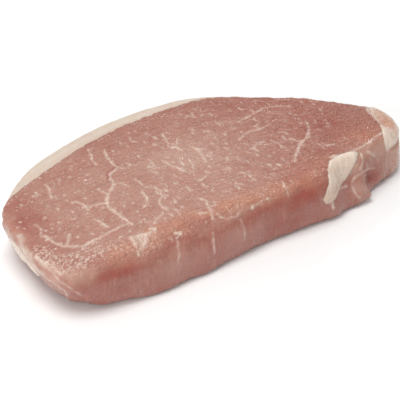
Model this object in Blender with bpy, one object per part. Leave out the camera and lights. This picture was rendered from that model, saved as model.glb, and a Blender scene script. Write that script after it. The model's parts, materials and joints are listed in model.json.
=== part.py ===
"""Raw boneless pork loin chop, lying on one cut face.

Frame: metres, +Z up. X runs along the chop from its blunt tail end (-X) to its
narrow tip (+X), Y from the trimmed front edge (-Y) to the arched fat edge (+Y).
The origin is on the board, under the middle of the chop's box. The outlines
below are drawn about a point near it, and build_chop moves them onto it.

The chop is one slab lofted between two outlines: the rim of the upper cut face
and the foot of the wall on the board. The knife met the loin at a slant, so
layers of tissue run through the slab along CUT_SLANT. Cutters part the slab
into the tissues that a butcher would name, with a hairline gap between them.
"""

import math

import bmesh
import bpy
from mathutils import Matrix, Vector

MM = 0.001

# Driving sizes, in millimetres.
THICKNESS = 19.0
CUT_SLANT = Vector((2.5, -5.0))
GAP = 0.3

# Wall section: how the side swells, and how it turns under at the board.
WALL_SWELL = 0.9
FOOT_TUCK = 2.6
FOOT_RISE = 3.2
RIM_DROP = 1.25
STEPS_PER_STATION = 4
FOOT_TURNS = 3
WALL_TURNS = 4
RIM_TURNS = 4

# Stations round the rim of the upper face, seen from above, anticlockwise:
# x, y, how far the foot stands outside (+) or inside (-) the rim, rim radius.
STATIONS = [
    (-73.5, -32.0, -9.5, 6.0),  # front corner of the tail, a soft roll
    (-59.0, -35.0, -2.4, 7.0),
    (-42.0, -33.5, 4.2, 6.5),
    (-21.0, -32.5, 5.0, 6.0),
    (1.0, -33.5, 2.2, 5.0),
    (20.0, -35.6, 0.9, 4.5),
    (31.0, -35.2, 3.2, 4.0),  # front corner of the trimmed end
    (38.5, -29.5, 8.0, 2.0),  # waist under the seam fat
    (50.0, -29.5, 6.0, 1.5),
    (61.0, -27.5, 3.6, 1.5),
    (70.0, -25.0, 3.0, 3.0),  # rounded tip
    (75.0, -17.5, 2.6, 3.5),
    (74.5, -9.0, 1.0, 3.0),
    (67.0, -0.5, -2.0, 2.0),
    (54.5, 13.0, -3.0, 2.0),
    (38.0, 25.2, -3.5, 2.0),
    (19.5, 36.6, -4.0, 2.0),
    (-1.0, 40.0, -4.0, 2.5),  # crest of the fat edge
    (-21.0, 39.5, -4.0, 2.5),
    (-40.5, 35.2, -3.5, 2.5),
    (-56.0, 29.5, -3.0, 2.5),
    (-69.0, 19.5, -3.5, 2.5),
    (-76.6, 9.5, -5.5, 2.0),  # blunt tail end, undercut
    (-78.5, -4.0, -7.0, 2.0),
    (-78.5, -18.0, -8.0, 2.5),
]

# Local swellings of the wall: x, y, z of the middle, reach, outward push.
WALL_BUMPS = [
    (-68.0, -30.0, 7.0, 11.0, 1.0),  # roll under the front corner of the tail
    (-12.0, -38.0, 6.0, 14.0, 0.8),
    (48.0, -36.5, 4.5, 5.5, 2.0),  # torn flap near the board
    (54.5, -33.5, 6.0, 4.5, -2.6),  # pocket behind the flap
    (75.0, -20.0, 14.5, 6.0, 0.9),  # roll of the tip muscle
    (77.0, -20.0, 9.5, 3.5, -1.0),  # crease under it
]

# Slow waves of the upper cut face: x, y of the middle, reach, height.
FACE_WAVES = [
    (-30.0, 2.0, 26.0, 0.5),
    (34.0, 6.0, 18.0, -0.6),
    (53.0, -13.0, 11.0, -0.5),
    (-60.0, -14.0, 14.0, -0.5),
    (5.0, -18.0, 16.0, 0.4),
]
FACE_RINGS = 4
FACE_INNER_SHARE = 0.8
WAVE_FADE = 3  # power by which the waves die out down the wall

# The middle line of the upper face: y = middle + lean x + bend x squared.
SPINE_MIDDLE = 4.0
SPINE_LEAN = -0.104
SPINE_BEND = -0.0028
SPINE_SHARE = 0.72
SPINE_STEPS = 22

# How far the cutters run on past both faces, as a share of the thickness.
OVERRUN = 0.25

# Where the back fat meets the lean, on the upper face, from the tail along.
FAT_LINE = [
    (-71.0, 16.6),
    (-63.0, 19.4),
    (-49.4, 24.5),
    (-31.7, 30.1),
    (-15.6, 32.8),
    (1.0, 33.9),
    (16.5, 33.2),
    (29.5, 30.6),
]
FAT_OUTSIDE = [(40.0, 50.0), (-40.0, 60.0), (-90.0, 40.0), (-88.0, 22.0)]

# Where the small muscle of the tip meets the eye, on the upper face.
TIP_LINE = [
    (73.5, -4.5),
    (69.8, -12.0),
    (67.9, -19.5),
    (63.6, -26.0),
    (60.0, -31.0),
]
TIP_OUTSIDE = [(64.0, -48.0), (95.0, -45.0), (95.0, 5.0)]

# The white seam fat in the trimmed end, a wedge that thins towards the board:
# its back on the upper face (x, y), and its outline on the wall (x, z).
SEAM_BACK = [
    (25.0, -34.0),
    (33.4, -30.9),
    (37.2, -27.7),
    (40.6, -26.5),
    (44.0, -27.0),
    (51.0, -27.8),
]
SEAM_FRONT_Y = -48.0
SEAM_SLANT = Vector((-1.0, -6.5))
SEAM_OUTLINE = [
    (34.6, 22.0),
    (33.4, 18.6),
    (31.0, 17.0),
    (28.8, 13.8),
    (27.0, 11.2),
    (28.4, 9.4),
    (31.0, 8.4),
    (33.4, 9.4),
    (36.4, 11.3),
    (41.0, 12.2),
    (45.8, 15.2),
    (48.6, 18.2),
    (49.2, 22.0),
]

# The cream fat that shows low in the undercut tail wall, a flat lens.
TAIL_LENS_MIDDLE = (-77.0, -4.0, 10.2)
TAIL_LENS_RADII = (3.4, 11.5, 5.2)
TAIL_LENS_LEAN = math.radians(-12.0)
TAIL_LENS_TURN = math.radians(6.0)
TAIL_LENS_SEGMENTS = 28
TAIL_LENS_RINGS = 16

# Colours of the tissues, as linear red, green, blue.
LEAN_COLOUR = (0.52, 0.24, 0.19, 1.0)
TIP_COLOUR = (0.56, 0.31, 0.24, 1.0)
FAT_COLOUR = (0.75, 0.66, 0.53, 1.0)
SEAM_COLOUR = (0.72, 0.61, 0.51, 1.0)
WET_ROUGHNESS = 0.38
FAT_ROUGHNESS = 0.45


def closed_spline(points, steps):
    """Points on a closed Catmull-Rom curve through the given vectors."""
    count = len(points)
    curve = []
    for i in range(count):
        before, start = points[i - 1], points[i]
        end, after = points[(i + 1) % count], points[(i + 2) % count]
        for step in range(steps):
            t = step / steps
            curve.append(
                0.5
                * (
                    2.0 * start
                    + (end - before) * t
                    + (2.0 * before - 5.0 * start + 4.0 * end - after) * t**2
                    + (3.0 * start - before - 3.0 * end + after) * t**3
                )
            )
    return curve


def spine_point(x):
    """The middle line of the cut face, which bends with the outline."""
    return Vector((x, SPINE_MIDDLE + SPINE_LEAN * x + SPINE_BEND * x * x))


def face_height(x, y):
    """Height of the upper cut face over the board."""
    height = THICKNESS
    for cx, cy, reach, lift in FACE_WAVES:
        height += lift * math.exp(-((x - cx) ** 2 + (y - cy) ** 2) / reach**2)
    return height


def wall_push(x, y, z):
    """How far the local swellings move the wall outwards."""
    push = 0.0
    for cx, cy, cz, reach, out in WALL_BUMPS:
        away = (x - cx) ** 2 + (y - cy) ** 2 + (z - cz) ** 2
        push += out * math.exp(-away / reach**2)
    return push


def wall_profile(radius):
    """(height, inset) pairs from the board up to the upper face."""
    drop = radius * RIM_DROP
    profile = []
    for turn in range(FOOT_TURNS):
        angle = math.pi / 2 * (1 - turn / FOOT_TURNS)
        profile.append((FOOT_RISE * (1 - math.sin(angle)), FOOT_TUCK * (1 - math.cos(angle))))
    for turn in range(WALL_TURNS):
        share = turn / WALL_TURNS
        profile.append((FOOT_RISE + (THICKNESS - drop - FOOT_RISE) * share, 0.0))
    for turn in range(RIM_TURNS + 1):
        angle = math.pi / 2 * turn / RIM_TURNS
        height = THICKNESS - drop * (1 - math.sin(angle))
        profile.append((height, radius * (1 - math.cos(angle))))
    return profile


def outward_normals(outline):
    """The direction out of an anticlockwise outline at each of its points."""
    normals = []
    for i in range(len(outline)):
        along = outline[(i + 1) % len(outline)].xy - outline[i - 1].xy
        normals.append(Vector((along.y, -along.x)).normalized())
    return normals


def wall_rings():
    """The slab's outline at each height, from the board to the upper face."""
    stations = [Vector(station) for station in STATIONS]
    turned = zip(stations, outward_normals(stations))
    foot = closed_spline([at.xy + normal * at.z for at, normal in turned], STEPS_PER_STATION)
    rim = closed_spline(stations, STEPS_PER_STATION)
    columns = []
    for low, high, low_out, high_out in zip(foot, rim, outward_normals(foot), outward_normals(rim)):
        column = []
        for height, inset in wall_profile(high.w):
            share = height / THICKNESS
            outward = low_out.lerp(high_out, share).normalized()
            out = WALL_SWELL * math.sin(math.pi * share) - inset
            point = low.lerp(high.xy, share) + outward * out
            if 0.0 < height < THICKNESS:
                point = point + outward * wall_push(point.x, point.y, height)
            lift = (face_height(point.x, point.y) - THICKNESS) * share**WAVE_FADE
            column.append(Vector((point.x, point.y, height + lift)))
        columns.append(column)
    return [list(ring) for ring in zip(*columns)]


def face_rings(rim):
    """Rings that shrink from the rim of the upper face to its middle line."""
    rings = []
    for ring in range(1, FACE_RINGS + 1):
        share = FACE_INNER_SHARE * ring / FACE_RINGS
        points = []
        for point in rim:
            flat = point.xy.lerp(spine_point(point.x * SPINE_SHARE), share)
            points.append(Vector((flat.x, flat.y, face_height(flat.x, flat.y))))
        rings.append(points)
    return rings


def close_on_spine(work, ring, rim):
    """Fill the innermost ring with faces that meet along the middle line."""
    low = min(point.x for point in rim) * SPINE_SHARE
    high = max(point.x for point in rim) * SPINE_SHARE
    spine = []
    for step in range(SPINE_STEPS + 1):
        flat = spine_point(low + (high - low) * step / SPINE_STEPS)
        spine.append(work.verts.new(Vector((flat.x, flat.y, face_height(flat.x, flat.y))) * MM))
    steps = [round((point.x * SPINE_SHARE - low) / (high - low) * SPINE_STEPS) for point in rim]
    for i in range(len(ring)):
        j = (i + 1) % len(ring)
        corners = [ring[i], ring[j], spine[steps[j]]]
        if steps[i] != steps[j]:
            corners.append(spine[steps[i]])
        work.faces.new(corners)


def slab_mesh():
    """The whole chop before it is parted, as one closed mesh."""
    work = bmesh.new()
    walls = wall_rings()
    rim = walls[-1]
    loops = [[work.verts.new(point * MM) for point in ring] for ring in walls + face_rings(rim)]
    count = len(rim)
    for lower, upper in zip(loops, loops[1:]):
        for i in range(count):
            j = (i + 1) % count
            work.faces.new((lower[i], lower[j], upper[j], upper[i]))
    work.faces.new(list(reversed(loops[0])))
    close_on_spine(work, loops[-1], rim)
    mesh = bpy.data.meshes.new("chop_slab")
    work.to_mesh(mesh)
    work.free()
    return mesh


def grown(outline, grow):
    """The outline moved outwards by grow; its points run anticlockwise."""
    moved = []
    count = len(outline)
    for i, here in enumerate(outline):
        before = (here - outline[i - 1]).normalized()
        after = (outline[(i + 1) % count] - here).normalized()
        corner = Vector((before.y, -before.x)) + Vector((after.y, -after.x))
        moved.append(here + corner.normalized() * grow / (corner.length / 2))
    return moved


def anticlockwise(outline):
    """The same outline, turned round if it runs clockwise."""
    turn = 0.0
    for i, here in enumerate(outline):
        turn += outline[i - 1].cross(here)
    return outline if turn > 0 else list(reversed(outline))


def prism_mesh(upper, lower, grow):
    """A closed prism from lower, under the board, to upper, over the chop."""
    work = bmesh.new()
    upper, lower = grown(upper, grow), grown(lower, grow)
    below, above = [], []
    for low, high in zip(lower, upper):
        rise = high - low
        start = low - rise * OVERRUN
        end = high + rise * OVERRUN
        below.append(work.verts.new(Vector((start.x, start.y, -THICKNESS * OVERRUN)) * MM))
        above.append(work.verts.new(Vector((end.x, end.y, THICKNESS * (1 + OVERRUN))) * MM))
    count = len(below)
    for i in range(count):
        j = (i + 1) % count
        work.faces.new((below[i], below[j], above[j], above[i]))
    work.faces.new(list(reversed(below)))
    work.faces.new(above)
    mesh = bpy.data.meshes.new("cutter")
    work.to_mesh(mesh)
    work.free()
    return mesh


def slanted_prism(outline, grow):
    """A prism that runs through the slab along the slant of the cut."""
    upper = anticlockwise([Vector(point) for point in outline])
    return prism_mesh(upper, [point + CUT_SLANT for point in upper], grow)


def seam_depth(grow):
    """The layer behind the trimmed wall that the seam fat may fill."""
    front = [(SEAM_BACK[-1][0], SEAM_FRONT_Y), (SEAM_BACK[0][0], SEAM_FRONT_Y)]
    upper = anticlockwise([Vector(point) for point in SEAM_BACK + front])
    return prism_mesh(upper, [point + SEAM_SLANT for point in upper], grow)


def seam_outline(grow):
    """The seam fat's outline on the wall, run straight back along Y."""
    outline = grown(anticlockwise([Vector(point) for point in SEAM_OUTLINE]), grow)
    work = bmesh.new()
    near = [work.verts.new(Vector((point.x, SEAM_FRONT_Y, point.y)) * MM) for point in outline]
    face = work.faces.new(near)
    swept = bmesh.ops.extrude_face_region(work, geom=[face])
    far = [item for item in swept["geom"] if isinstance(item, bmesh.types.BMVert)]
    bmesh.ops.translate(work, vec=Vector((0.0, -SEAM_FRONT_Y, 0.0)) * MM, verts=far)
    bmesh.ops.recalc_face_normals(work, faces=work.faces)
    mesh = bpy.data.meshes.new("cutter")
    work.to_mesh(mesh)
    work.free()
    return mesh


def add_seam_wedge(name, grow):
    """The wedge itself: where that layer and that outline meet."""
    wedge = add_cutter(name, seam_depth(grow))
    cut(wedge, add_cutter(name + "_outline", seam_outline(grow)), "INTERSECT")
    return wedge


def tail_lens(grow):
    """The lens of fat in the tail wall, as a stretched sphere."""
    work = bmesh.new()
    bmesh.ops.create_uvsphere(
        work, u_segments=TAIL_LENS_SEGMENTS, v_segments=TAIL_LENS_RINGS, radius=1.0
    )
    radii = Matrix.Diagonal([(radius + grow) * MM for radius in TAIL_LENS_RADII] + [1.0])
    place = Matrix.Translation(Vector(TAIL_LENS_MIDDLE) * MM)
    lean = Matrix.Rotation(TAIL_LENS_LEAN, 4, "Y")
    turn = Matrix.Rotation(TAIL_LENS_TURN, 4, "Z")
    bmesh.ops.transform(work, matrix=place @ turn @ lean @ radii, verts=work.verts)
    mesh = bpy.data.meshes.new("cutter")
    work.to_mesh(mesh)
    work.free()
    return mesh


def tissue_material(name, colour, roughness):
    """A wet, opaque tissue."""
    material = bpy.data.materials.new(name)
    material.use_nodes = True
    shader = material.node_tree.nodes["Principled BSDF"]
    shader.inputs["Base Color"].default_value = colour
    shader.inputs["Roughness"].default_value = roughness
    return material


def drawing_middle(mesh):
    """The middle of the chop's box in plan, in metres."""
    middle = Vector((0.0, 0.0, 0.0))
    for axis in (0, 1):
        reach = [vertex.co[axis] for vertex in mesh.vertices]
        middle[axis] = (min(reach) + max(reach)) / 2
    return middle


def add_object(name, mesh):
    thing = bpy.data.objects.new(name, mesh)
    bpy.context.scene.collection.objects.link(thing)
    return thing


def add_cutter(name, mesh):
    """A hidden guide body for the Boolean cuts."""
    cutter = add_object(name, mesh)
    cutter.hide_render = True
    cutter.display_type = "WIRE"
    return cutter


def cut(target, cutter, operation):
    boolean = target.modifiers.new(cutter.name, "BOOLEAN")
    boolean.operation = operation
    boolean.object = cutter


def add_tissue(name, material, inside=None, outside=()):
    """One node: the slab kept inside one cutter, or outside the others."""
    mesh = slab_mesh()
    mesh.materials.append(material)
    mesh.shade_smooth()
    tissue = add_object(name, mesh)
    if inside:
        cut(tissue, inside, "INTERSECT")
    for cutter in outside:
        cut(tissue, cutter, "DIFFERENCE")
    return tissue


def build_chop():
    lean = tissue_material("lean", LEAN_COLOUR, WET_ROUGHNESS)
    tip = tissue_material("tip_lean", TIP_COLOUR, WET_ROUGHNESS)
    fat = tissue_material("back_fat", FAT_COLOUR, FAT_ROUGHNESS)
    seam = tissue_material("seam_fat", SEAM_COLOUR, FAT_ROUGHNESS)

    fat_outline = FAT_LINE + FAT_OUTSIDE
    tip_outline = TIP_LINE + TIP_OUTSIDE
    add_tissue("fat_cap", fat, inside=add_cutter("fat_cap_guide", slanted_prism(fat_outline, 0.0)))
    add_tissue("tip_muscle", tip, inside=add_cutter("tip_guide", slanted_prism(tip_outline, 0.0)))
    add_tissue("seam_fat", seam, inside=add_seam_wedge("seam_guide", 0.0))
    add_tissue("tail_fat", fat, inside=add_cutter("tail_guide", tail_lens(0.0)))

    room = [
        add_cutter("fat_cap_room", slanted_prism(fat_outline, GAP)),
        add_cutter("tip_room", slanted_prism(tip_outline, GAP)),
        add_seam_wedge("seam_room", GAP),
        add_cutter("tail_room", tail_lens(GAP)),
    ]
    eye = add_tissue("loin_eye", lean, outside=room)

    middle = drawing_middle(eye.data)
    for thing in bpy.context.scene.objects:
        thing.location -= middle


for old in list(bpy.data.objects):
    bpy.data.objects.remove(old)
build_chop()
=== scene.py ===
"""A raw pork loin chop: one thick slice of lean with its back fat, lying on a pale table."""

import json
from math import radians

import bmesh
import bpy
import numpy as np
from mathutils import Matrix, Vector, noise
from mathutils.bvhtree import BVHTree

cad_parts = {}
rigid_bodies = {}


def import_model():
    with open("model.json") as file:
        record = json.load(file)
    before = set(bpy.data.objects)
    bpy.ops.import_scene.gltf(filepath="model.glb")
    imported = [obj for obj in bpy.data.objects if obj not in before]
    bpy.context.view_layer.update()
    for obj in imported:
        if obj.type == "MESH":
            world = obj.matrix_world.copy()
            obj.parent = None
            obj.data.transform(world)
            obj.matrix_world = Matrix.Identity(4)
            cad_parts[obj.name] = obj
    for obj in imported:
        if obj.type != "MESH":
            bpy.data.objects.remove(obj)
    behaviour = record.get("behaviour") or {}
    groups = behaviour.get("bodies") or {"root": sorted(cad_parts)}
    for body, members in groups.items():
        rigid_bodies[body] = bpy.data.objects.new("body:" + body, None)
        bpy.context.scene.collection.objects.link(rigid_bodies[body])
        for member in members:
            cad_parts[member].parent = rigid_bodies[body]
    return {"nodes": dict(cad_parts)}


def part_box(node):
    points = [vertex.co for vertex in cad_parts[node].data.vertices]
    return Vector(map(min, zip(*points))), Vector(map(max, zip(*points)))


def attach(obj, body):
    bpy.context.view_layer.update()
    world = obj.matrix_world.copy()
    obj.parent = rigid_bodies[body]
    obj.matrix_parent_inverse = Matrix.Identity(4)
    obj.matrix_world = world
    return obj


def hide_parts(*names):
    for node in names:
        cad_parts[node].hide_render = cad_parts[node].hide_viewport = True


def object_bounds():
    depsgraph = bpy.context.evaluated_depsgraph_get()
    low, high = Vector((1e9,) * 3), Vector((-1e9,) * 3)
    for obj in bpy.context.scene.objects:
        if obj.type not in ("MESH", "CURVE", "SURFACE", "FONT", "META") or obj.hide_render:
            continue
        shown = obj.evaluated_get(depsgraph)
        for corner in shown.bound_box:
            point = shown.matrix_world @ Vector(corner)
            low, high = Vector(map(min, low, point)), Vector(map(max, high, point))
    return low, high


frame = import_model()
cad_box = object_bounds()
bpy.ops.object.select_all(action="DESELECT")


# ---- Where the chop is seen from -----------------------------------------------------------------
# The cook stands at the chop's front left corner and looks down on it, from far enough
# away that the slice keeps its own proportions.
scene = bpy.context.scene
VIEW_TURN = radians(-34)
VIEW_HEIGHT = radians(37)
VIEW_DISTANCE = 0.478
LENS = 120
CLIP_START = 0.01
# The point looked at lies this far from the middle of the chop's box, and this high.
AIM_SHIFT = (-0.0077, -0.0117)
AIM_HEIGHT = 0.0095

box_middle = (cad_box[0] + cad_box[1]) / 2
aim = Vector((box_middle.x + AIM_SHIFT[0], box_middle.y + AIM_SHIFT[1], AIM_HEIGHT))
level = np.cos(VIEW_HEIGHT)
towards_cook = Vector((np.sin(VIEW_TURN) * level, -np.cos(VIEW_TURN) * level, np.sin(VIEW_HEIGHT)))
bpy.ops.object.camera_add(
    location=aim + towards_cook * VIEW_DISTANCE,
    rotation=(radians(90) - VIEW_HEIGHT, 0, VIEW_TURN),
)
camera = bpy.context.object
camera.data.lens = LENS
camera.data.clip_start = CLIP_START
scene.camera = camera


# ---- The table and its light ---------------------------------------------------------------------
# A matt white table under a broad soft lamp, with a small lamp low behind the chop that
# picks out its wet ridges and a weak one at its tail. White walls soften every shadow.
TABLE_SIZE = 3.0
TABLE_WHITE = (0.93, 0.93, 0.925, 1)
TABLE_ROUGHNESS = 0.9
TABLE_SHINE = 0.1
# Each lamp's place, width in metres and power in watts.
LAMPS = (
    ((-0.18, -0.02, 0.78), 0.46, 3.65),
    ((0.42, 0.45, 0.41), 0.08, 0.68),
    ((-0.55, -0.18, 0.20), 0.40, 0.9),
)
ROOM_LIGHT = 0.52

bpy.ops.mesh.primitive_plane_add(size=TABLE_SIZE, location=(0, 0, 0))
table = bpy.context.object
table.name = "table"
white = bpy.data.materials.new("matt white")
white.use_nodes = True
shader = white.node_tree.nodes["Principled BSDF"]
shader.inputs["Base Color"].default_value = TABLE_WHITE
shader.inputs["Roughness"].default_value = TABLE_ROUGHNESS
shader.inputs["Specular IOR Level"].default_value = TABLE_SHINE
table.data.materials.append(white)

for place, width, power in LAMPS:
    bpy.ops.object.light_add(type="AREA", location=place)
    lamp = bpy.context.object
    lamp.data.shape = "DISK"
    lamp.data.size = width
    lamp.data.energy = power
    lamp.rotation_euler = (-Vector(place)).to_track_quat("-Z", "Y").to_euler()

scene.world = bpy.data.worlds.new("white room")
scene.world.use_nodes = True
walls = scene.world.node_tree.nodes["Background"]
walls.inputs["Color"].default_value = (1, 1, 1, 1)
walls.inputs["Strength"].default_value = ROOM_LIGHT
scene.view_settings.view_transform = "Standard"


# ---- The slice as the knife left it --------------------------------------------------------------
# One cut runs over lean, fat and gristle alike, so the whole slice gets a single skin
# first: the tissues are fused, eased smooth and given a fine even mesh, with a coarser
# one underneath. Then it is parted into its tissues along the lines where they meet.
MM = 0.001
SKIN_STEP = 0.90 * MM
EASE = 0.28 * MM
WELD = 0.001 * MM
COARSE_BAND = 0.6 * MM  # the flat underside keeps the coarser mesh up to this height
SMOOTHING = 0.5
SMOOTHING_ROUNDS = 14
LAST_SMOOTHING = 0.4
LAST_SMOOTHING_ROUNDS = 2
TISSUES = ("loin_eye", "fat_cap", "seam_fat", "tail_fat", "tip_muscle")
FAT_TISSUES = ("fat_cap", "seam_fat", "tail_fat")
LEAN_TISSUES = ("loin_eye", "tip_muscle")
FAR_OFF = 6.0  # in mm, where a distance stops counting
BORDER_WANDER = 0.15  # in mm, how far the lines between tissues stray
BORDER_REACH = 2.5
FAT_BLEND = 3.0  # in mm, how far lean and fat show in each other's colour
BORDER_ROUNDS = 4


def finish_with(piece, kind, **settings):
    """Gives the piece a modifier and applies it."""
    modifier = piece.modifiers.new(kind.title(), kind)
    for name, value in settings.items():
        setattr(modifier, name, value)
    bpy.context.view_layer.objects.active = piece
    bpy.ops.object.modifier_apply(modifier=modifier.name)


def places_of(piece):
    """Where the piece's points are, in mm."""
    flat = np.empty(3 * len(piece.data.vertices))
    piece.data.vertices.foreach_get("co", flat)
    return flat.reshape(-1, 3) / MM


def ripple(places, reach, seed=0.0):
    """Smooth unevenness from about -1 to 1, with its own reach in mm along x, y and z."""
    return np.array([noise.noise(Vector(row)) for row in places / np.array(reach) + seed]) * 1.6


def keep(piece, name, values):
    """Stores a number for each point under a name that the materials read."""
    layer = piece.data.attributes.get(name) or piece.data.attributes.new(name, "FLOAT", "POINT")
    layer.data.foreach_set("value", np.asarray(values, np.float32))


slab_mesh = bpy.data.meshes.new("slab")
work = bmesh.new()
for node in frame["nodes"].values():
    work.from_mesh(node.data)
bmesh.ops.remove_doubles(work, verts=work.verts, dist=WELD)
work.to_mesh(slab_mesh)
work.free()
slab = bpy.data.objects.new("slab", slab_mesh)
scene.collection.objects.link(slab)
bpy.ops.object.select_all(action="DESELECT")
slab.select_set(True)

finish_with(slab, "DISPLACE", strength=EASE, mid_level=0)
finish_with(slab, "REMESH", mode="VOXEL", voxel_size=SKIN_STEP)
finish_with(slab, "DISPLACE", strength=-EASE, mid_level=0)
finish_with(slab, "SMOOTH", factor=SMOOTHING, iterations=SMOOTHING_ROUNDS)
bpy.ops.object.mode_set(mode="EDIT")
bpy.ops.mesh.select_mode(type="FACE")
bpy.ops.mesh.select_all(action="DESELECT")
bpy.ops.object.mode_set(mode="OBJECT")
for face in slab.data.polygons:
    face.select = face.center.z > COARSE_BAND or face.normal.z > -0.5
bpy.ops.object.mode_set(mode="EDIT")
bpy.ops.mesh.subdivide(number_cuts=1, quadcorner="INNERVERT")
bpy.ops.mesh.select_all(action="DESELECT")
bpy.ops.object.mode_set(mode="OBJECT")
finish_with(slab, "SMOOTH", factor=LAST_SMOOTHING, iterations=LAST_SMOOTHING_ROUNDS)

# How far each point is from each tissue's own solid tells which tissue it belongs to,
# and how far inside that tissue it lies.
skin = places_of(slab)
gaps = np.full((len(TISSUES), len(skin)), FAR_OFF)
for row, tissue in enumerate(TISSUES):
    solid = bmesh.new()
    solid.from_mesh(frame["nodes"][tissue].data)
    surface = BVHTree.FromBMesh(solid)
    solid.free()
    low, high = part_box(tissue)
    reachable = np.all(
        (skin > np.array(low) / MM - FAR_OFF) & (skin < np.array(high) / MM + FAR_OFF), axis=1
    )
    for index in np.flatnonzero(reachable):
        gaps[row, index] = surface.find_nearest(Vector(skin[index]) * MM)[3] / MM
wander = BORDER_WANDER * ripple(skin, (BORDER_REACH,) * 3, 7.0)
gaps[0] += wander
gaps[1:] -= wander
ordered = np.sort(gaps, axis=0)
inside = ordered[1] - ordered[0]
owner = gaps.argmin(axis=0)
nearest_fat = gaps[[TISSUES.index(name) for name in FAT_TISSUES]].min(axis=0)
nearest_lean = gaps[[TISSUES.index(name) for name in LEAN_TISSUES]].min(axis=0)
keep(slab, "fat", np.clip(0.5 + (nearest_lean - nearest_fat) / FAT_BLEND, 0, 1))
keep(slab, "inside", inside)

# The faces go to their tissues, the lines between tissues are drawn smooth, and each
# tissue is parted off and closed where it was joined to the next.
finishes = {tissue: bpy.data.materials.new(tissue + " finish") for tissue in TISSUES}
for finish in finishes.values():
    slab.data.materials.append(finish)
for face in slab.data.polygons:
    face.material_index = int(np.bincount(owner[list(face.vertices)]).argmax())
    face.use_smooth = True
work = bmesh.new()
work.from_mesh(slab.data)
meeting = [
    edge for edge in work.edges if len({face.material_index for face in edge.link_faces}) > 1
]
beside = {}
for edge in meeting:
    edge.smooth = False
    for vert in edge.verts:
        beside.setdefault(vert, []).append(edge.other_vert(vert))
for _ in range(BORDER_ROUNDS):
    eased = {
        vert: vert.co.lerp(sum((other.co for other in others), Vector()) / len(others), 0.5)
        for vert, others in beside.items()
    }
    for vert, place in eased.items():
        vert.co = place
work.to_mesh(slab.data)
work.free()

bpy.ops.object.mode_set(mode="EDIT")
bpy.ops.mesh.select_all(action="SELECT")
bpy.ops.mesh.separate(type="MATERIAL")
bpy.ops.object.mode_set(mode="OBJECT")
parted = {}
for piece in list(scene.objects):
    if piece.type == "MESH" and piece.name.startswith("slab"):
        worn = piece.data.materials[piece.data.polygons[0].material_index]
        parted[next(tissue for tissue in TISSUES if finishes[tissue] == worn)] = piece
for tissue, piece in parted.items():
    piece.name = tissue + "_flesh"
    piece.data.name = piece.name
    piece.data.materials.clear()
    piece.data.materials.append(finishes[tissue])

# Each pocket of fat: the middle of its opening and how far its floor is sunk, in mm.
POCKETS = (
    ((-76.5, -6, 11), (2.2, 0, 0)),
    ((38, -33, 14), (-0.6, 2.2, -0.6)),
)
POCKET_REACH = 7 * MM
POCKET_TAPER = 0.3


def close_cuts(piece):
    """Closes each hole where a neighbour was parted off. A hole at one of the listed pockets first leads to
    a shallow pocket, so that the fat in it has a body and isn't a mere skin."""
    work = bmesh.new()
    work.from_mesh(piece.data)
    open_edges = {edge for edge in work.edges if edge.is_boundary}
    while open_edges:
        ring = {open_edges.pop()}
        grown = list(ring)
        while grown:
            for vert in grown.pop().verts:
                joined = open_edges.intersection(vert.link_edges)
                open_edges -= joined
                ring |= joined
                grown += joined
        corners = {vert for edge in ring for vert in edge.verts}
        middle = sum((vert.co for vert in corners), Vector()) / len(corners)
        for pocket_middle, sink in POCKETS:
            if (middle - Vector(pocket_middle) * MM).length < POCKET_REACH:
                made = bmesh.ops.extrude_edge_only(work, edges=list(ring))["geom"]
                floor = [item for item in made if isinstance(item, bmesh.types.BMVert)]
                for vert in floor:
                    vert.co = vert.co.lerp(middle, POCKET_TAPER) + Vector(sink) * MM
                ring = [item for item in made if isinstance(item, bmesh.types.BMEdge)]
        bmesh.ops.triangle_fill(work, edges=list(ring), use_beauty=True, use_dissolve=False)
    bmesh.ops.recalc_face_normals(work, faces=work.faces)
    work.to_mesh(piece.data)
    work.free()


for piece in parted.values():
    close_cuts(piece)
    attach(piece, "root")


# ---- The loin eye --------------------------------------------------------------------------------
# The long back muscle, cut across its fibres: firm pink lean, paler towards the thick end.
# Thin sheets of white connective tissue run through it and show as seams on both cut faces,
# between them lie short flecks of fat, and a mauve skin wraps the uncut sides.
eye = parted["loin_eye"]
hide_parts("loin_eye")

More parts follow.
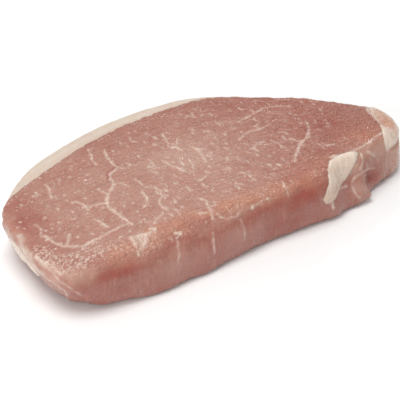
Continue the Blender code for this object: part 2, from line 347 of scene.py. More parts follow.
# Seams over the cut faces: half a width in mm, then the seam's way in mm along x and y.
SEAMS = (
    (0.10, ((-31.5, 25.5), (-32.5, 22), (-34, 19), (-34, 15.5))),
    (0.15, ((-27, 22), (-28.5, 17.5), (-29, 12), (-28.5, 10))),
    (0.05, ((-28.5, 10), (-27, 7.5))),
    (0.10, ((-28.5, 10), (-33, 8), (-35, 2), (-38, -1))),
    (0.20, ((-35.5, 2), (-40, -2.5), (-42.5, -5.5), (-43.5, -9.5))),
    (0.32, ((-43.5, -9.5), (-42.5, -14.5), (-42, -18), (-41.5, -20.5))),
    (0.12, ((-41, 2.5), (-40.5, 0.5), (-40, -2.5))),
    (0.10, ((-51, 1), (-50, -1), (-49.5, -3), (-47.5, -4.2), (-45, -5), (-43, -5.7))),
    (0.08, ((-49.5, -3), (-50, -6))),
    (0.02, ((-34.5, 2.5), (-32, 0.5), (-31.5, -2.5))),
    (0.05, ((-27.5, 0.5), (-27, -3), (-27, -5.5), (-25.5, -6.5))),
    (0.18, ((-29, -7), (-29.5, -11), (-30.5, -13), (-33, -15))),
    (0.12, ((-24, -7.5), (-23.5, -10.5), (-24.5, -13), (-27, -15), (-27.5, -17))),
    (0.10, ((-27.5, -16.5), (-28, -19.5), (-27, -21))),
    (0.10, ((-68.5, -3), (-68.5, -6), (-70, -9.5), (-68.5, -10.5))),
    (0.30, ((-69, -9.5), (-68, -14), (-66.5, -17.5), (-63, -20), (-60.5, -21.3))),
    (0.38, ((-60.5, -21.3), (-57.5, -21), (-53.5, -20.3))),
    (0.08, ((-53.5, -20.3), (-49, -20), (-45, -19.5), (-41.5, -20))),
    (0.10, ((-62, -13.5), (-64, -16.5), (-65.5, -18.5))),
    (0.25, ((-50, -12.5), (-49.5, -14.5), (-49, -17))),
    (0.10, ((-55, 14), (-55.5, 11.5), (-57, 7.5))),
    (0.05, ((-60.5, 14), (-59.5, 11.5))),
    (0.45, ((-45.5, -26.7), (-43.3, -27.2), (-41.5, -27.5), (-39, -28))),
    (0.25, ((-45.5, -27), (-46, -30), (-46.5, -33))),
    (0.25, ((-40.5, -28.2), (-42.6, -31), (-45.5, -32.5))),
    (0.10, ((-35, -24.5), (-32, -22.8), (-29.5, -21.5))),
    (0.60, ((-37.2, -26.6), (-36.8, -27))),
    (0.50, ((-31, -31.6), (-29.6, -32))),
    (0.08, ((-4, 19), (-4.5, 15), (-6, 11.5), (-5.5, 9.5))),
    (0.30, ((-5.5, 9.5), (-4, 9), (-3.5, 6.5))),
    (0.05, ((-0.5, 13.5), (-3.5, 10.5))),
    (0.08, ((-13, 4.5), (-12, 0), (-11, -2), (-10.5, -4))),
    (0.45, ((-10.5, -4), (-10, -4.7))),
    (0.10, ((1, 5.5), (1.5, 3), (0.5, -1), (-0.5, -5))),
    (0.40, ((2.3, -2), (2.7, -2.6))),
    (0.05, ((-17, 7.5), (-17, 4), (-17, 1))),
    (0.08, ((-8, 1), (-8, -2))),
    (0.02, ((-4.5, 0.5), (-5, -2.5), (-6.5, -6))),
    (0.08, ((-9.5, -11.5), (-8.5, -13.5), (-5.5, -12))),
    (0.10, ((-15, -21), (-13.5, -23.5), (-14.5, -27.5), (-16, -32))),
    (0.05, ((-14.5, -27.5), (-11.5, -27.5))),
    (0.10, ((46, -4.5), (41.5, -11), (36.5, -13.5))),
    (0.28, ((36.5, -13.5), (33.5, -15.5), (30.5, -18), (26.5, -22))),
    (0.05, ((33, -6), (32.5, -9), (34.5, -9.5), (35.5, -12), (37, -13))),
    (0.02, ((25, 10.5), (29, 11.5), (32.5, 12), (37.5, 13), (40.5, 12.5), (44.5, 10), (47.5, 8))),
    (0.02, ((17, 0), (20.5, 2), (25, 3.5), (29.5, 2), (31.5, 2.5), (34, 3))),
    (0.10, ((20, -6), (22.5, -5.3), (25, -5.5))),
    (0.10, ((19.5, -7), (19.5, -10))),
    (0.10, ((27.5, -6.5), (28.5, -9), (28, -12.5))),
    (0.08, ((6, -17), (7.5, -19), (7.5, -23.5))),
    (0.05, ((15, -29), (14.5, -32), (14, -34.5))),
    (0.15, ((42.5, -18.5), (42.5, -21), (45.5, -21))),
)
# Edge seams, where the skin of the sides meets the cut: half a width, then x, y and height.
EDGE_SEAMS = (
    (0.05, ((-19, -28.5, 19), (-14, -30, 18.7), (-13, -32.5, 17.5), (-11, -33.5, 16.4), (-7.5, -34, 16.4))),
    (0.05, ((-7.5, -34, 16.4), (-4.5, -33.5, 17.2), (2, -33.5, 17.4), (6, -33.5, 17.7))),
    (0.30, ((39, -27, 19), (45, -28.5, 19), (51.5, -28.5, 19), (57.5, -27.5, 19), (65.5, -25, 19))),
    (0.25, ((72, -9.5, 19), (69, -16, 19), (68.5, -19, 19), (67.5, -23, 19), (65.5, -26, 18.5))),
    (0.25, ((65.5, -26, 18.5), (64.5, -28.5, 16))),
    (0.80, ((71.5, -9, 19), (70.5, -11.5, 19), (70, -13.5, 19))),
    (0.10, ((50.5, -30.5, 18), (50, -32, 15.5), (48, -33, 13.5))),
    (0.05, ((53.5, -30.5, 17.5), (57, -31, 14.5))),
    (0.30, ((28, -38.5, 11), (31, -38.5, 9), (32, -39, 6))),
    (0.10, ((34, -37, 12), (40.5, -35, 10))),
    (0.20, ((-76.5, -17.5, 18.5), (-75.5, -21.5, 18.5), (-74, -24.5, 18.5), (-73.5, -29, 17.5))),
    (0.05, ((-76.5, -19.5, 14), (-75.5, -24.5, 13), (-74.5, -28, 12.5), (-73, -29, 11), (-71.5, -28, 6.5))),
    (0.02, ((-76, -22, 18.5), (-75, -26.5, 17), (-74, -29.5, 15), (-71.5, -31.5, 12.5), (-69, -32.5, 9.5))),
)
# Seams down the uncut front: half a width, then x and height in mm.
FRONT_SEAMS = (
    (0.05, ((-31.5, 17), (-32.5, 13), (-34, 10))),
    (0.10, ((-18, 14.5), (-19, 11), (-19.5, 8))),
    (0.10, ((-6.5, 15), (-6, 11), (-6.5, 8))),
    (0.15, ((43.5, 10.4), (46, 11.5), (49, 12), (52, 11.8), (56.5, 9.5))),
    (0.10, ((43, 10.4), (43.5, 7), (45.5, 4))),
)
SEAM_HALO = 0.9
FRONT_HALO = 0.8
FRONT_STRENGTH = 0.85
FLECK_HALO = 0.7
FLECK_WANDER = 0.1
# Flecks and specks: how many, x range, y range, length range and half width range in mm.
FLECKS_AND_GLINTS = (
    (150, (-26, 22), (-26, 28), (0.5, 2.4), (-0.22, 0.26)),
    (80, (18, 58), (-22, 22), (0.4, 1.8), (-0.25, 0.20)),
    # The tiny specks over the left third of the cut are partly fat and partly painted glints of the wet
    # grain.
    (230, (-75, -32), (-26, 24), (0.1, 0.5), (-0.16, 0.22)),
    (70, (-44, 30), (-34, -22), (0.2, 1.4), (-0.28, 0.10)),
)
FLECK_SLANT = (-0.10, 0.22)
FLECK_STRENGTH = 0.95
FLECK_SEED = 11


def facings_of(piece):
    """Which way the piece's surface faces at each point."""
    flat = np.empty(3 * len(piece.data.vertices))
    piece.data.vertices.foreach_get("normal", flat)
    return flat.reshape(-1, 3)


def move_to(piece, places):
    """Puts the piece's points at places, in mm, and none below the table."""
    places = np.array(places)
    places[:, 2] = np.maximum(places[:, 2], 0)
    piece.data.vertices.foreach_set("co", (places * MM).ravel())
    piece.data.update()


def raise_by(piece, height):
    """Pushes the surface out by height mm, a number for each point."""
    move_to(piece, places_of(piece) + facings_of(piece) * height[:, None])


def kept(piece, name):
    """The numbers stored under a name."""
    values = np.empty(len(piece.data.vertices), np.float32)
    piece.data.attributes[name].data.foreach_get("value", values)
    return values.astype(float)


def step_up(value, low, high):
    """0 below low, 1 above high and a soft rise between them."""
    share = np.clip((value - low) / (high - low), 0, 1)
    return share * share * (3 - 2 * share)


def patch(places, middle, reach):
    """1 at middle, fading to nothing over reach mm along x, y and z."""
    return np.exp(-(((places - np.array(middle)) / np.array(reach)) ** 2).sum(axis=1))


def distance_to_line(places, line):
    """How far each place is from a line drawn through a few points, in mm."""
    line = np.array(line, float)
    near = np.all((places > line.min(axis=0) - FAR_OFF) & (places < line.max(axis=0) + FAR_OFF), axis=1)
    close = places[near]
    shortest = np.full(len(close), FAR_OFF)
    for start, end in zip(line[:-1], line[1:]):
        along = end - start
        share = np.clip((close - start) @ along / (along @ along), 0, 1)
        shortest = np.minimum(shortest, np.linalg.norm(close - start - share[:, None] * along, axis=1))
    distance = np.full(len(places), FAR_OFF)
    distance[near] = shortest
    return distance


def ripple_2d(points, reach, seed):
    """Smooth unevenness over a face, from about -1 to 1."""
    return ripple(np.column_stack([points, np.zeros(len(points))]), (reach, reach, 1), seed)


def seam_field(points, lines, halo, wander=0.3):
    """1 on a seam, fading to nothing over the halo's width."""
    first = points[:, :2] if points.shape[1] == 2 else points[:, [0, 2]]
    sway = np.stack([ripple_2d(first, 2.2, 3.0 + 28 * way) for way in range(points.shape[1])], axis=1)
    swell = ripple_2d(first, 1.8, 57.0) * 0.30
    field = np.zeros(len(points))
    for half_width, line in lines:
        distance = distance_to_line(points + wander * sway, line)
        field = np.maximum(field, 1 - np.clip((distance - half_width - swell) / halo, 0, 1))
    return field


def line_paint(points, line, reach):
    """1 on a line, fading to nothing over reach mm."""
    return 1 - step_up(distance_to_line(points, line), 0, reach)


def strongest(*fields):
    """The largest of several fields at each point."""
    return np.maximum.reduce(fields)


def patches(places, table):
    """The strongest of several soft patches, each with its strength, middle and reach in mm."""
    return strongest(*(strength * patch(places, middle, reach) for strength, middle, reach in table))


spots = places_of(eye)
facing = facings_of(eye)
settled = step_up(kept(eye, "inside"), 0.1, 1.0)
x, y, z = spots.T
flat_face = step_up(np.abs(facing[:, 2]), 0.45, 0.8)
side_face = 1 - flat_face
front = step_up(-facing[:, 1], 0.2, 0.6)
tail = step_up(-facing[:, 0], 0.2, 0.6) * (x < -40)

rng = np.random.default_rng(FLECK_SEED)
strokes = []
for count, x_range, y_range, lengths, half_widths in FLECKS_AND_GLINTS:
    for _ in range(count):
        start = np.array([rng.uniform(*x_range), rng.uniform(*y_range)])
        slant = rng.normal(*FLECK_SLANT)
        reach = rng.uniform(*lengths) * np.array([np.sin(slant), np.cos(slant)])
        strokes.append((rng.uniform(*half_widths), (start, start + reach)))

cut_seams = seam_field(spots[:, :2], SEAMS, SEAM_HALO) * step_up(flat_face, 0.0, 0.4)
cut_flecks_and_glints = seam_field(spots[:, :2], strokes, FLECK_HALO, FLECK_WANDER) * flat_face * FLECK_STRENGTH
side_seams = strongest(
    seam_field(spots, EDGE_SEAMS, SEAM_HALO),
    seam_field(spots[:, [0, 2]], FRONT_SEAMS, FRONT_HALO) * front * FRONT_STRENGTH,
)
# The marbling holds the seams, the flecks and the tiny specks, which are partly painted glints.
keep(eye, "marbling", strongest(cut_seams, cut_flecks_and_glints, side_seams))

# Knife ridges run along the slice, turn with its back edge and stand highest towards the
# thin end. The wet, finely torn grain follows the front of the tail. A flap of skin hangs
# over a pocket at the front.
TORN_ROUTE = (
    (-74, -16),
    (-73, -22),
    (-70, -26),
    (-66, -26.5),
    (-60, -26),
    (-53, -27),
    (-45, -30),
    (-40, -31),
)
TORN_WIDTH = (1.5, 5.0)
TURN_FROM, TURN_TO = 5, 40
BACK_SLOPE = 0.75


def flow_of(places):
    """A number that stays the same along the way the knife ridges run, in mm."""
    x, y, z = places.T
    past = np.clip(x - TURN_FROM, 0, TURN_TO - TURN_FROM)
    fall = BACK_SLOPE * (past * past / (2 * (TURN_TO - TURN_FROM)) + np.maximum(x - TURN_TO, 0))
    return y + 3 * np.sin(x / 22) + fall * step_up(y, -26, 4)


# The relief of the cut and of the sides, in mm. Each ripple ends with its own seed.
RIDGE_HEIGHT = 0.10
FINE_RIDGE_HEIGHT = 0.06
DENT_HEIGHT = 0.16
SEAM_HEIGHT = 0.12
FLECK_HEIGHT = 0.06
TORN_HEIGHT = 0.30
FRONT_RIPPLE_HEIGHT = 0.10
FRONT_SWELL_HEIGHT = 0.35
TAIL_SWELL_HEIGHT = 0.40
WRINKLED_MIDDLE = (44, 2, 19)
WRINKLED_REACH = (24, 22, 30)
# The pocket under the flap of skin and the two folds of the flap: height, middle and reach.
FLAP = (
    (-1.5, (53.5, -33.5, 8), (3, 3, 2.6)),
    (0.7, (46.5, -35.5, 6.5), (3, 3, 3.5)),
    (1.2, (50, -37, 3), (1.1, 2.5, 1.5)),
)

torn = 1 - step_up(distance_to_line(spots[:, :2], TORN_ROUTE), *TORN_WIDTH)
torn *= step_up(facing[:, 2], 0.2, 0.7)
torn *= 1 - 0.6 * step_up(x, -63, -46)
flow = np.column_stack([x, flow_of(spots), z])
ridge = 1 - 2 * np.abs(ripple(flow, (11, 1.5, 6), 5.0))
ridge_fine = ripple(flow, (4, 0.9, 3), 6.0)
wrinkled = patch(spots, WRINKLED_MIDDLE, WRINKLED_REACH)
relief = (
    (RIDGE_HEIGHT * ridge + FINE_RIDGE_HEIGHT * ridge_fine) * (0.4 + 2.2 * wrinkled) * flat_face
    + DENT_HEIGHT * ripple(spots, (4, 2.6, 4), 9.0) * (0.6 + wrinkled)
    + SEAM_HEIGHT * strongest(cut_seams, side_seams) ** 2
    + FLECK_HEIGHT * cut_flecks_and_glints**2
    + TORN_HEIGHT * torn * ripple(spots, (1.2, 1.2, 1.2), 13.0)
    + FRONT_RIPPLE_HEIGHT * front * ripple(spots, (1.8, 5, 7), 17.0)
    + FRONT_SWELL_HEIGHT * front * ripple(spots, (8, 5, 5), 18.0)
    + TAIL_SWELL_HEIGHT * tail * ripple(spots, (3, 3.5, 4), 19.0)
)
for height, middle, reach in FLAP:
    relief = relief + height * patch(spots, middle, reach)
raise_by(eye, settled * relief)

# Where the lean is pale, orange, dark, smeared with fat or veiled by its mauve skin; some of the dark is
# painted shade and some of the orange a painted glow.
keep(eye, "torn", torn)
keep(eye, "side", side_face)
keep(eye, "flow", flow_of(spots))
keep(eye, "wrinkled", wrinkled)
# Redder towards the thin end, the back and the tail; down the front wall the darker red is partly its own
# and partly painted shade.
redder_and_front_shade = (
    0.55 * step_up(x, -10, 55)
    + 0.3 * step_up(y, 5, 28)
    + 0.35 * step_up(-x, 55, 75)
    + 0.62 * front * side_face * (1 - step_up(x, 38, 48))
)
keep(eye, "tone", redder_and_front_shade)
drift = np.stack([ripple(spots, (7, 7, 5), seed) for seed in (23.0, 41.0, 61.0)], axis=1)
uneven = spots + drift * np.array([3.0, 2.0, 1.5])
# Along the front rim the orange is partly the thin edge's own colour and partly a painted glow of light
# shining through it.
RIM_GLOW = (
    (-53, -31, 18),
    (-42.5, -31, 18),
    (-33, -27.5, 19),
    (-16.5, -30, 19),
    (1.5, -30.5, 19),
    (17, -32, 19),
    (27, -32, 19),
)
# Patches are given by their strength, their middle and their reach in mm.
GLOW_PATCHES = (
    (0.6, (29, -28, 19), (9, 5, 5)),
    (0.55, (-68, -32, 16.5), (5.5, 3, 3)),
    (0.8, (-75, -2, 19), (2.6, 8, 4)),
    (0.8, (58, -22, 19), (8, 6, 4)),
)
keep(eye, "orange_and_glow", strongest(0.85 * line_paint(uneven, RIM_GLOW, 6.0), patches(uneven, GLOW_PATCHES)))
TAIL_CRACK = ((-77.5, -15), (-75.5, -12), (-73.5, -10.5), (-71, -9))
VESSEL = ((-27.8, 11.2), (-30.5, 10), (-33.6, 8.8), (-35.8, 4.5))
THIN_END_CRACK = ((50.5, -11.5), (51, -15.5), (50.5, -18.5))
# Darker patches: on the cut face darker red lean; down the front wall partly its darker red zones and
# partly painted shade; the hollow near x 13 and the pocket under the flap hold painted shade only.
DARK_PATCHES = (
    (0.9, (-57, -35, 14), (8, 5, 4)),
    (0.45, (-60, -36, 8), (10, 5, 6)),
    (0.3, (-58, -31, 18.5), (7, 4, 3)),
    (0.5, (-30, -33, 16), (14, 4, 3)),
    (1.0, (20, -37, 14.5), (7.5, 5, 4.5)),
    (0.7, (13, -37, 7), (10, 5, 7)),
    (0.5, (24, -28, 19), (11, 5, 4)),
    (0.5, (2, -35, 14.5), (9, 4, 2.5)),
    (0.75, (-71, 2, 19), (5, 11, 4)),
    (0.5, (-74, -12, 19), (2.5, 5, 4)),
    (0.55, (51, -9, 19), (12, 10, 4)),
    (0.35, (38, -22, 19), (6, 5, 4)),
    (0.4, (26, -37, 5), (7, 4, 4)),
    (0.8, (56, -32, 7), (5, 5, 4)),
    (0.8, (-65, -33, 4.5), (6, 3, 1.6)),
)
dark = strongest(
    patches(uneven, DARK_PATCHES),
    0.8 * line_paint(spots[:, :2], TAIL_CRACK, 1.0),
    0.6 * line_paint(spots[:, :2], THIN_END_CRACK, 0.9),
    # Painted shade low on the walls, where they meet the table.
    0.5 * side_face * step_up(5 - z, 0, 4) * (1 - step_up(x, 40, 50)),
    0.7 * line_paint(spots[:, :2], VESSEL, 0.9),
)
keep(eye, "dark", dark)
MEMBRANE = ((44, -32.5, 14), (50, -30.5, 18.5), (59, -29.5, 17), (64, -28.5, 15))
PALE_PATCHES = (
    (0.25, (-35, -6, 19), (8, 9, 30)),
    (0.6, (-6, 2, 19), (14, 10, 30)),
    (0.8, (-35, -37, 9), (9, 4, 5)),
    (0.6, (-8, -37, 10), (8, 4, 4)),
    (0.9, (-75, -26, 14), (4, 6, 6)),
    (1.0, (46.5, -36.5, 6.5), (4, 4, 4.5)),
    (1.0, (64, -31, 11), (8, 4, 7)),
    (0.25, (30, -38, 5), (6, 4, 4)),
)
pale = strongest(
    patches(uneven, PALE_PATCHES),
    0.9 * line_paint(uneven, MEMBRANE, 5.5),
    # The lower end wall is paler: partly its pale skin, partly painted light.
    0.7 * patch(spots, (70, -5, 8), (7, 7, 9)),
)
keep(eye, "pale", pale)
TAIL_SMEAR = (
    (-77.5, -5, 18),
    (-78, -10, 17.5),
    (-78, -14, 17),
    (-77.5, -17.5, 15.5),
    (-76.5, -20, 13.5),
)
TORN_SMEAR = (
    (-75.5, -21, 18.5),
    (-75, -26, 17.5),
    (-73, -29, 18),
    (-70.5, -30.5, 18),
    (-66.5, -30, 18.5),
)
SMEAR_PATCHES = (
    (0.75, (-77, -4, 11), (6, 14, 7)),
    (0.5, (-69, -32, 16.5), (5, 3, 3)),
)
smear = strongest(
    1.0 * line_paint(uneven, TAIL_SMEAR, 4.2),
    0.5 * line_paint(uneven, TORN_SMEAR, 2.4),
    patches(uneven, SMEAR_PATCHES),
    0.6 * step_up(patch(spots, (-43.2, -29.2, 19), (3.4, 3.2, 4)), 0.25, 0.75),
)
keep(eye, "smear", smear)
keep(eye, "veil", side_face * step_up(16 - z, 0, 6) * (1 - dark) * (1 - 0.8 * step_up(x, 38, 48)))


def wire(tree, kind, inputs=(), **settings):
    """Adds a node, with each input set or linked by name, and gives back the node."""
    node = tree.nodes.new(kind)
    for name, value in settings.items():
        setattr(node, name, value)
    for name, value in dict(inputs).items():
        if isinstance(value, bpy.types.NodeSocket):
            tree.links.new(value, node.inputs[name])
        else:
            node.inputs[name].default_value = value
    return node


def calc(tree, operation, *numbers):
    """One step of arithmetic on numbers."""
    return wire(tree, "ShaderNodeMath", enumerate(numbers), operation=operation).outputs[0]


def soft_step(tree, value, low, high, top=1.0, bottom=0.0):
    """bottom below low, top above high and a soft rise between them."""
    inputs = {"Value": value, "From Min": low, "From Max": high, "To Min": bottom, "To Max": top}
    return wire(tree, "ShaderNodeMapRange", inputs, interpolation_type="SMOOTHSTEP").outputs[0]


def blend(tree, share, first, second):
    """One colour laid over another."""
    inputs = {0: share, 6: first, 7: second}
    return wire(tree, "ShaderNodeMix", inputs, data_type="RGBA").outputs[2]


def stored(tree, name):
    """A number that the mesh holds for each of its points."""
    return wire(tree, "ShaderNodeAttribute", attribute_name=name).outputs["Fac"]


def stretched(tree, place, x_scale, y_scale, z_scale):
    """The place in mm, scaled along each way."""
    inputs = {"Vector": place, "Scale": (x_scale, y_scale, z_scale)}
    return wire(tree, "ShaderNodeMapping", inputs).outputs[0]


def cloud(tree, place, scale, detail=3.0, roughness=0.55):
    """Soft noise from 0 to 1."""
    inputs = {"Vector": place, "Scale": scale, "Detail": detail, "Roughness": roughness}
    return wire(tree, "ShaderNodeTexNoise", inputs).outputs["Fac"]


def new_group(name, inputs, outputs):
    """An empty node group with its named sockets."""
    tree = bpy.data.node_groups.new(name, "ShaderNodeTree")
    for label, kind in inputs:
        tree.interface.new_socket(label, in_out="INPUT", socket_type="NodeSocket" + kind)
    for label, kind in outputs:
        tree.interface.new_socket(label, in_out="OUTPUT", socket_type="NodeSocket" + kind)
    return tree, tree.nodes.new("NodeGroupInput").outputs, tree.nodes.new("NodeGroupOutput").inputs


def fibre_group():
    """Cut muscle fibre: broad mottling, bundles, knife wrinkles and a fine round grain. Down the
    sides the fibres are seen lengthwise, as upright streaks."""
    tree, given, result = new_group(
        "cut fibre",
        [("Place", "Vector"), ("Flow", "Float"), ("Side", "Float")],
        [(name, "Float") for name in ("Mottle", "Bundle", "Streak", "Grain", "Height")],
    )
    place = given["Place"]
    mottle = cloud(tree, place, 0.13, 5.0, 0.6)
    inputs = {"Vector": stretched(tree, place, 0.28, 0.42, 0.3), "Scale": 1.0}
    bundle = wire(tree, "ShaderNodeTexVoronoi", inputs)
    axes = wire(tree, "ShaderNodeSeparateXYZ", {"Vector": place}).outputs
    inputs = {"X": axes["X"], "Y": given["Flow"], "Z": axes["Z"]}
    along = wire(tree, "ShaderNodeCombineXYZ", inputs).outputs[0]
    wrinkle = cloud(tree, stretched(tree, along, 0.14, 1.2, 0.4), 1.0, 5.0, 0.62)
    upright = cloud(tree, stretched(tree, place, 0.9, 0.9, 0.14), 1.0, 5.0, 0.62)
    streak = wire(tree, "ShaderNodeMix", {0: given["Side"], 2: wrinkle, 3: upright}).outputs[0]
    inputs = {"Vector": place, "Scale": 1.35}
    cells = wire(tree, "ShaderNodeTexVoronoi", inputs, feature="SMOOTH_F1").outputs["Distance"]
    fine = cloud(tree, place, 2.6, 3.0, 0.65)
    grain = calc(tree, "MULTIPLY", cells, fine)
    soft_streak = cloud(tree, stretched(tree, along, 0.2, 0.9, 0.9), 1.0, 1.0)
    swell = cloud(tree, place, 1.0, 1.0)
    height = calc(tree, "MULTIPLY_ADD", soft_streak, 1.2, calc(tree, "MULTIPLY_ADD", grain, 0.15, swell))
    calm = calc(tree, "MULTIPLY_ADD", given["Side"], -0.75, 1.0)
    height = calc(tree, "MULTIPLY", calc(tree, "SUBTRACT", height, 1.15), calm)
    tree.links.new(mottle, result["Mottle"])
    tree.links.new(bundle.outputs["Color"], result["Bundle"])
    tree.links.new(streak, result["Streak"])
    tree.links.new(grain, result["Grain"])
    tree.links.new(height, result["Height"])
    return tree


def marbling_group():
    """White seams and flecks: a solid core with a ragged edge, and a paler halo round it."""
    tree, given, result = new_group(
        "marbling", [("Place", "Vector"), ("Field", "Float")], [("Core", "Float"), ("Halo", "Float")]
    )
    edge_noise = cloud(tree, given["Place"], 0.9, 4.0, 0.65)
    ragged = calc(tree, "MULTIPLY_ADD", calc(tree, "SUBTRACT", edge_noise, 0.5), 1.1, given["Field"])
    breaks = soft_step(tree, cloud(tree, given["Place"], 0.42, 3.0, 0.6), 0.38, 0.60, 1.0, 0.25)
    tree.links.new(calc(tree, "MULTIPLY", soft_step(tree, ragged, 0.55, 1.12), breaks), result["Core"])
    tree.links.new(soft_step(tree, given["Field"], 0.0, 1.0), result["Halo"])
    return tree


FIBRE = fibre_group()
MARBLING = marbling_group()


def place_in_mm(tree):
    """The piece's own coordinates in mm."""
    place = wire(tree, "ShaderNodeTexCoord").outputs["Object"]
    return wire(tree, "ShaderNodeVectorMath", {0: place, "Scale": 1000.0}, operation="SCALE").outputs[0]


def fat_look(tree, place, shades):
    """Firm fat in faint layers that follow the lean beside it."""
    inputs = {"X": calc(tree, "MULTIPLY", stored(tree, "inside"), 1.3)}
    depth = wire(tree, "ShaderNodeCombineXYZ", inputs).outputs[0]
    inputs = {0: place, 1: (0.05, 0.05, 0.05), 2: depth}
    layered = wire(tree, "ShaderNodeVectorMath", inputs, operation="MULTIPLY_ADD").outputs[0]
    layers = cloud(tree, layered, 1.0)
    mottle = cloud(tree, place, 0.22, 4.0)
    share = soft_step(tree, calc(tree, "ADD", layers, mottle), 0.75, 1.25)
    lumps = cloud(tree, place, 1.2, 4.0)
    height = calc(tree, "ADD", layers, calc(tree, "ADD", mottle, lumps))
    colour = blend(tree, share, shades["fat"], shades["cream"])
    return blend(tree, stored(tree, "stain"), colour, shades["stain"]), height


def lean_look(tree, place, shades):
    """Lean in all its shades, from pale pink to dark red, under its seams and its skin, with its painted
    shade, painted glow and painted glints.
    """
    fibre = wire(tree, "ShaderNodeGroup", {}, node_tree=FIBRE)
    tree.links.new(place, fibre.inputs["Place"])
    tree.links.new(stored(tree, "side"), fibre.inputs["Side"])
    tree.links.new(stored(tree, "flow"), fibre.inputs["Flow"])
    fibre = fibre.outputs
    mottle = calc(tree, "SUBTRACT", fibre["Mottle"], 0.5)
    mottle = calc(tree, "MULTIPLY_ADD", mottle, 0.9, stored(tree, "tone"))
    tone = calc(tree, "MULTIPLY_ADD", fibre["Bundle"], 0.12, mottle)
    colour = blend(tree, soft_step(tree, tone, -0.3, 0.95), shades["pink"], shades["red"])
    upright = calc(tree, "MULTIPLY", stored(tree, "side"), 0.6)
    rough = calc(tree, "MAXIMUM", stored(tree, "wrinkled"), upright)
    crease = calc(tree, "MULTIPLY_ADD", rough, 0.45, 0.25)
    for name, low, high in (("dark", 0.50, 0.70), ("pale", 0.47, 0.30)):
        share = calc(tree, "MULTIPLY", soft_step(tree, fibre["Streak"], low, high), crease)
        colour = blend(tree, share, colour, shades[name])
    colour = blend(tree, soft_step(tree, fibre["Grain"], 0.14, 0.42, 0.16), colour, shades["pale"])
    patchy = cloud(tree, place, 0.17, 4.0)
    # Pale, orange, dark and veiled patches laid on; the dark ones are partly painted shade and the orange
    # ones partly a painted glow.
    for name, strength in (("pale", 0.75), ("orange_and_glow", 0.8), ("dark", 0.95), ("veil", 0.6)):
        share = soft_step(tree, patchy, 0.36, 0.58, strength, 0.65 * strength)
        colour = blend(tree, calc(tree, "MULTIPLY", stored(tree, name), share), colour, shades[name])
    thin = soft_step(tree, cloud(tree, place, 0.35, 4.0), 0.3, 0.6, 0.95, 0.45)
    share = calc(tree, "MULTIPLY", stored(tree, "smear"), thin)
    colour = blend(tree, share, colour, shades["cream"])
    marbling = wire(tree, "ShaderNodeGroup", node_tree=MARBLING)
    tree.links.new(place, marbling.inputs["Place"])
    tree.links.new(stored(tree, "marbling"), marbling.inputs["Field"])
    halo = calc(tree, "MULTIPLY", marbling.outputs["Halo"], 0.26)
    core = calc(tree, "MULTIPLY", marbling.outputs["Core"], 0.78)
    colour = blend(tree, core, blend(tree, halo, colour, shades["seam"]), shades["seam"])
    # Pale crumbs over the torn grain: partly fat, partly painted glints of its wet surface.
    crumbs_and_glints = soft_step(tree, cloud(tree, place, 0.85, 4.0, 0.65), 0.46, 0.62, 0.75)
    share = calc(tree, "MULTIPLY", stored(tree, "torn"), crumbs_and_glints)
    return blend(tree, share, colour, shades["seam"]), fibre["Height"], marbling.outputs["Core"]


BUMP_DEPTH = 0.0005
JUICE_IOR = 1.42
GLOW_WEIGHT = 0.12
GLOW_DEPTH = 0.0012
GLOW_SPREAD = (1.0, 0.4, 0.25)


def tissue_finish(finish, shades, gloss):
    """The finish of one tissue, with its neighbour's colour where the two meet. Gloss is the
    roughness of the wettest and of the driest spots."""
    finish.use_nodes = True
    tree = finish.node_tree
    place = place_in_mm(tree)
    lean, lean_height, core = lean_look(tree, place, shades)
    fat, fat_height = fat_look(tree, place, shades)
    ragged = calc(tree, "SUBTRACT", cloud(tree, place, 0.55, 4.0), 0.5)
    ragged = calc(tree, "MULTIPLY_ADD", ragged, 0.7, stored(tree, "fat"))
    is_fat = soft_step(tree, ragged, 0.42, 0.58)
    inputs = {0: is_fat, 2: lean_height, 3: calc(tree, "MULTIPLY", fat_height, 0.4)}
    height = wire(tree, "ShaderNodeMix", inputs).outputs[0]
    height = calc(tree, "MULTIPLY_ADD", core, 0.3, height)
    wet = soft_step(tree, cloud(tree, place, 0.5, 5.0, 0.65), 0.42, 0.60, gloss[1], gloss[0])
    wet = calc(tree, "MULTIPLY_ADD", stored(tree, "side"), -0.10, wet)
    bump = wire(tree, "ShaderNodeBump", {"Height": height, "Strength": 1.0, "Distance": BUMP_DEPTH})
    shader = tree.nodes["Principled BSDF"]
    tree.links.new(blend(tree, is_fat, lean, fat), shader.inputs["Base Color"])
    tree.links.new(wet, shader.inputs["Roughness"])
    tree.links.new(bump.outputs["Normal"], shader.inputs["Normal"])
    shader.inputs["Subsurface Weight"].default_value = GLOW_WEIGHT
    shader.inputs["Subsurface Radius"].default_value = GLOW_SPREAD
    shader.inputs["Subsurface Scale"].default_value = GLOW_DEPTH
    shader.inputs["IOR"].default_value = JUICE_IOR


SHADES = {
    "pink": (0.447, 0.238, 0.183, 1),
    "red": (0.335, 0.113, 0.080, 1),
    "pale": (0.55, 0.35, 0.275, 1),
    "orange_and_glow": (0.50, 0.210, 0.126, 1),
    "dark": (0.325, 0.075, 0.056, 1),
    "veil": (0.405, 0.188, 0.157, 1),
    "seam": (0.76, 0.60, 0.50, 1),
    "fat": (0.64, 0.54, 0.45, 1),
    "cream": (0.61, 0.475, 0.385, 1),
    "stain": (0.60, 0.41, 0.31, 1),
}
tissue_finish(finishes["loin_eye"], SHADES, (0.13, 0.44))


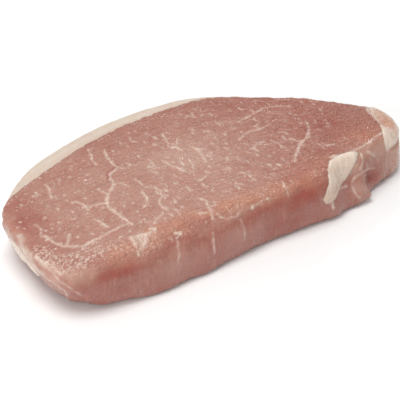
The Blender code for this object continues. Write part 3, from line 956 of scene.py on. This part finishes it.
# ---- The fat cap ---------------------------------------------------------------------------------
# The back fat that covers the loin's outer side: firm, cream white and smooth on the outside,
# thickest over the tail and running out thin along the back.
cap = parted["fat_cap"]
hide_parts("fat_cap")
spots = places_of(cap)
settled = step_up(kept(cap, "inside"), 0.1, 1.2)
keep(cap, "stain", 0.3 * (1 - step_up(kept(cap, "inside") + ripple(spots, (5, 5, 3), 75.0), 0.3, 3.0)))
swells = 0.10 * ripple(spots, (9, 5, 1.6), 71.0) + 0.05 * ripple(spots, (2.4, 2.4, 1.2), 73.0)
raise_by(cap, settled * swells)
tissue_finish(finishes["fat_cap"], SHADES, (0.35, 0.55))


# ---- The seam fat --------------------------------------------------------------------------------
# A wedge of soft fat at the front edge, where the loin was parted from the next muscle. It
# leans back over the wall and thins to a ragged point.
wedge = parted["seam_fat"]
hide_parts("seam_fat")
spots = places_of(wedge)
settled = step_up(kept(wedge, "inside"), 0.1, 1.0)
STAIN_PATCHES = (
    (0.8, (34.6, -33, 17.8), (1.3, 1.8, 1.3)),
    (0.35, (36.5, -31, 18), (3, 3, 2)),
)
stain = strongest(patches(spots, STAIN_PATCHES), 0.9 * step_up(16.5 - spots[:, 2], 0, 5))
keep(wedge, "stain", stain * (0.7 + 0.3 * ripple(spots, (1.5, 1.5, 1.5), 85.0)))
raise_by(wedge, settled * (0.2 + 0.2 * ripple(spots, (2.2, 2.2, 2.8), 81.0)))
WEDGE_SHADES = dict(SHADES, fat=(0.77, 0.64, 0.54, 1), cream=(0.69, 0.54, 0.44, 1))
tissue_finish(finishes["seam_fat"], WEDGE_SHADES, (0.18, 0.45))


# ---- The tail fat --------------------------------------------------------------------------------
# A flat lens of cream fat on the tail's end, left where the flank was trimmed away. It lies
# half sunk in the lean, low on the wall.
lens = parted["tail_fat"]
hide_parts("tail_fat")
spots = places_of(lens)
settled = step_up(kept(lens, "inside"), 0.1, 1.0)
raise_by(lens, settled * (0.3 + 0.3 * ripple(spots, (3, 3, 3), 83.0)))
tissue_finish(finishes["tail_fat"], WEDGE_SHADES, (0.18, 0.45))


# ---- The tip muscle ------------------------------------------------------------------------------
# The small muscle at the thin end: a pale pink lobe in a thick rim of cream fat stands on
# the lean that goes on under it down to the table.
tip = parted["tip_muscle"]
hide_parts("tip_muscle")
spots = places_of(tip)
facing = facings_of(tip)
settled = step_up(kept(tip, "inside"), 0.1, 1.0)
LOBE_FOOT = (
    (64, -29, 14.5),
    (66.5, -29, 13.2),
    (70, -28, 12.5),
    (73, -25.5, 13.2),
    (76.5, -21, 14),
    (78, -14, 14.5),
    (76, -8, 15),
)
LOBE_MIDDLE = (70.6, -19.2, 21)
LOBE_REACH = (3.9, 8.0, 5.8)
RIM_FOOT = (12.2, 14.2)  # the cream rim starts between these heights
RIM_HEIGHT = 0.3
GROOVE_DEPTH = 0.7
foot = distance_to_line(spots, LOBE_FOOT)
drift = np.stack([ripple(spots, (4, 4, 4), seed) for seed in (25.0, 43.0, 63.0)], axis=1)
uneven = spots + drift
lobe = patch(uneven, LOBE_MIDDLE, LOBE_REACH)
above = step_up(spots[:, 2], *RIM_FOOT)
cream_rim = above * (1 - step_up(lobe, 0.12, 0.6))
keep(tip, "fat", np.maximum(kept(tip, "fat"), above * (1 - step_up(lobe, 0.03, 0.2))))
keep(tip, "smear", strongest(cream_rim, 1.0 * patch(uneven, (70.8, -11.5, 19), (2.6, 4.2, 4))))
keep(tip, "marbling", seam_field(spots, EDGE_SEAMS, SEAM_HALO))
side = 1 - step_up(np.abs(facing[:, 2]), 0.45, 0.8)
keep(tip, "side", side)
keep(tip, "flow", flow_of(spots))
keep(tip, "pale", 0.45 + 0.35 * step_up(kept(tip, "inside"), 0.5, 4) + 0.2 * above)
keep(tip, "orange_and_glow", 0.85 * lobe)
# Painted shade low on the sides, near the table.
keep(tip, "dark", 0.6 * side * step_up(4 - spots[:, 2], 0, 4))
keep(tip, "tone", np.full(len(spots), 0.2))
keep(tip, "veil", 0.35 * side * step_up(12 - spots[:, 2], 0, 3))
relief = (
    0.15 * ripple(spots, (3, 3, 3), 91.0)
    - GROOVE_DEPTH * (1 - step_up(foot, 0.2, 1.6))
    + RIM_HEIGHT * cream_rim
)
raise_by(tip, settled * relief)
LOBE_SHADES = dict(
    SHADES,
    pale=(0.64, 0.39, 0.30, 1),
    orange_and_glow=(0.64, 0.33, 0.20, 1),
    cream=(0.77, 0.61, 0.50, 1),
)
tissue_finish(finishes["tip_muscle"], LOBE_SHADES, (0.18, 0.45))
